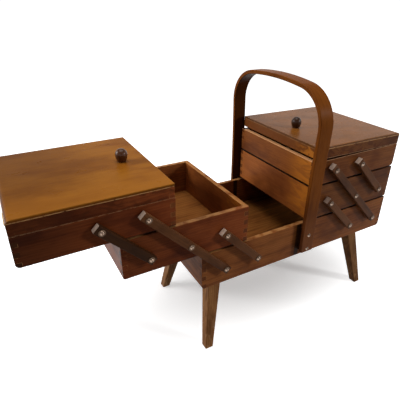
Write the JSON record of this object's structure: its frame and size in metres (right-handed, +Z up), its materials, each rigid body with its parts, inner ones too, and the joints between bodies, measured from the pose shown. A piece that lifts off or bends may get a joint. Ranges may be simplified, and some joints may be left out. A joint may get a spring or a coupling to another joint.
{
  "type": "cantilever sewing box",
  "caption": "Wooden sewing box on splayed legs: a bottom box with lidded trays that swing out on parallel arms to either side, and a bentwood carrying handle over the middle.",
  "frame": {"origin": "the point of the floor under the centre of the bottom box, between the four feet", "axes": "+X along the box's long side, towards the closed trays; +Y towards the back; +Z up"},
  "size_m": [0.6898, 0.2516, 0.465],
  "materials": {
    "case_wood": "red-brown stained hardwood, satin shellac, worn edges",
    "bottom_ply": "thin plywood, satin",
    "lid_wood": "veneered panel, satin, small scuffs",
    "arm_wood": "dark stained hardwood, satin",
    "handle_wood": "bent hardwood, satin",
    "leg_wood": "stained hardwood, satin, rubbed near the feet",
    "knob_wood": "turned, dark, glossy",
    "steel": "plated steel, satin",
    "hinge_brass": "aged brass, satin"
  },
  "bodies": {
    "base": {"base_front": "case_wood", "base_back": "case_wood", "base_left_end": "case_wood", "base_right_end": "case_wood", "base_bottom": "bottom_ply", "leg_front_left": "leg_wood", "leg_front_right": "leg_wood", "leg_back_left": "leg_wood", "leg_back_right": "leg_wood", "leg_screws": "steel", "base_pivot_screws": "steel", "handle_strap": "handle_wood", "handle_spacers": "handle_wood", "handle_screws": "steel"},
    "left_middle_tray": {"left_middle_tray_front": "case_wood", "left_middle_tray_back": "case_wood", "left_middle_tray_inner_end": "case_wood", "left_middle_tray_outer_end": "case_wood", "left_middle_tray_bottom": "bottom_ply", "left_middle_pivot_screws": "steel"},
    "left_top_tray": {"left_top_tray_front": "case_wood", "left_top_tray_back": "case_wood", "left_top_tray_inner_end": "case_wood", "left_top_tray_outer_end": "case_wood", "left_top_tray_bottom": "bottom_ply", "left_top_pivot_screws": "steel", "left_hinge_tray_leaves": "hinge_brass"},
    "left_long_arms": {"left_front_long_arm": "arm_wood", "left_back_long_arm": "arm_wood"},
    "left_inner_arms": {"left_front_inner_arm": "arm_wood", "left_back_inner_arm": "arm_wood"},
    "left_outer_arms": {"left_front_outer_arm": "arm_wood", "left_back_outer_arm": "arm_wood"},
    "left_lid": {"left_lid_frame": "case_wood", "left_lid_panel": "lid_wood", "left_lid_knob": "knob_wood", "left_hinge_lid_leaves": "hinge_brass"},
    "right_middle_tray": {"right_middle_tray_front": "case_wood", "right_middle_tray_back": "case_wood", "right_middle_tray_inner_end": "case_wood", "right_middle_tray_outer_end": "case_wood", "right_middle_tray_bottom": "bottom_ply", "right_middle_pivot_screws": "steel"},
    "right_top_tray": {"right_top_tray_front": "case_wood", "right_top_tray_back": "case_wood", "right_top_tray_inner_end": "case_wood", "right_top_tray_outer_end": "case_wood", "right_top_tray_bottom": "bottom_ply", "right_top_pivot_screws": "steel", "right_hinge_tray_leaves": "hinge_brass"},
    "right_long_arms": {"right_front_long_arm": "arm_wood", "right_back_long_arm": "arm_wood"},
    "right_inner_arms": {"right_front_inner_arm": "arm_wood", "right_back_inner_arm": "arm_wood"},
    "right_outer_arms": {"right_front_outer_arm": "arm_wood", "right_back_outer_arm": "arm_wood"},
    "right_lid": {"right_lid_frame": "case_wood", "right_lid_panel": "lid_wood", "right_lid_knob": "knob_wood", "right_hinge_lid_leaves": "hinge_brass"}
  },
  "joints": [
    {"name": "left_arms_swing", "type": "hinge", "parent": "base", "child": "left_long_arms", "pos_m": [-0.175, 0, 0.1845], "axis": [0, 1, 0], "range_deg": [0, 89.1]},
    {"name": "left_inner_arms_swing", "type": "hinge", "parent": "base", "child": "left_inner_arms", "pos_m": [-0.111, 0, 0.1845], "axis": [0, 1, 0], "range_deg": [0, 89.1]},
    {"name": "left_middle_tray_level", "type": "hinge", "parent": "left_long_arms", "child": "left_middle_tray", "pos_m": [-0.239, 0, 0.2495], "axis": [0, 1, 0], "range_deg": [-89.1, 0]},
    {"name": "left_top_tray_level", "type": "hinge", "parent": "left_long_arms", "child": "left_top_tray", "pos_m": [-0.303, 0, 0.3145], "axis": [0, 1, 0], "range_deg": [-89.1, 0]},
    {"name": "left_outer_arms_swing", "type": "hinge", "parent": "left_middle_tray", "child": "left_outer_arms", "pos_m": [-0.303, 0, 0.2495], "axis": [0, 1, 0], "range_deg": [0, 89.1]},
    {"name": "left_lid_hinge", "type": "hinge", "parent": "left_top_tray", "child": "left_lid", "pos_m": [-0.471, 0, 0.3335], "axis": [0, -1, 0], "range_deg": [0, 105]},
    {"name": "right_arms_swing", "type": "hinge", "parent": "base", "child": "right_long_arms", "pos_m": [0.175, 0, 0.1845], "axis": [0, 1, 0], "range_deg": [0, 89.1]},
    {"name": "right_inner_arms_swing", "type": "hinge", "parent": "base", "child": "right_inner_arms", "pos_m": [0.111, 0, 0.1845], "axis": [0, 1, 0], "range_deg": [0, 89.1]},
    {"name": "right_middle_tray_level", "type": "hinge", "parent": "right_long_arms", "child": "right_middle_tray", "pos_m": [0.111, 0, 0.2495], "axis": [0, 1, 0], "range_deg": [-89.1, 0]},
    {"name": "right_top_tray_level", "type": "hinge", "parent": "right_long_arms", "child": "right_top_tray", "pos_m": [0.047, 0, 0.3145], "axis": [0, 1, 0], "range_deg": [-89.1, 0]},
    {"name": "right_outer_arms_swing", "type": "hinge", "parent": "right_middle_tray", "child": "right_outer_arms", "pos_m": [0.175, 0, 0.2495], "axis": [0, 1, 0], "range_deg": [0, 89.1]},
    {"name": "right_lid_hinge", "type": "hinge", "parent": "right_top_tray", "child": "right_lid", "pos_m": [0.215, 0, 0.3335], "axis": [0, 1, 0], "range_deg": [-1.1, 103.9]}
  ],
  "couplings": [
    {"joint": "left_inner_arms_swing", "follows": "left_arms_swing", "ratio": 1},
    {"joint": "left_middle_tray_level", "follows": "left_arms_swing", "ratio": -1},
    {"joint": "left_top_tray_level", "follows": "left_arms_swing", "ratio": -1},
    {"joint": "left_outer_arms_swing", "follows": "left_arms_swing", "ratio": 1},
    {"joint": "right_inner_arms_swing", "follows": "right_arms_swing", "ratio": 1},
    {"joint": "right_middle_tray_level", "follows": "right_arms_swing", "ratio": -1},
    {"joint": "right_top_tray_level", "follows": "right_arms_swing", "ratio": -1},
    {"joint": "right_outer_arms_swing", "follows": "right_arms_swing", "ratio": 1}
  ]
}
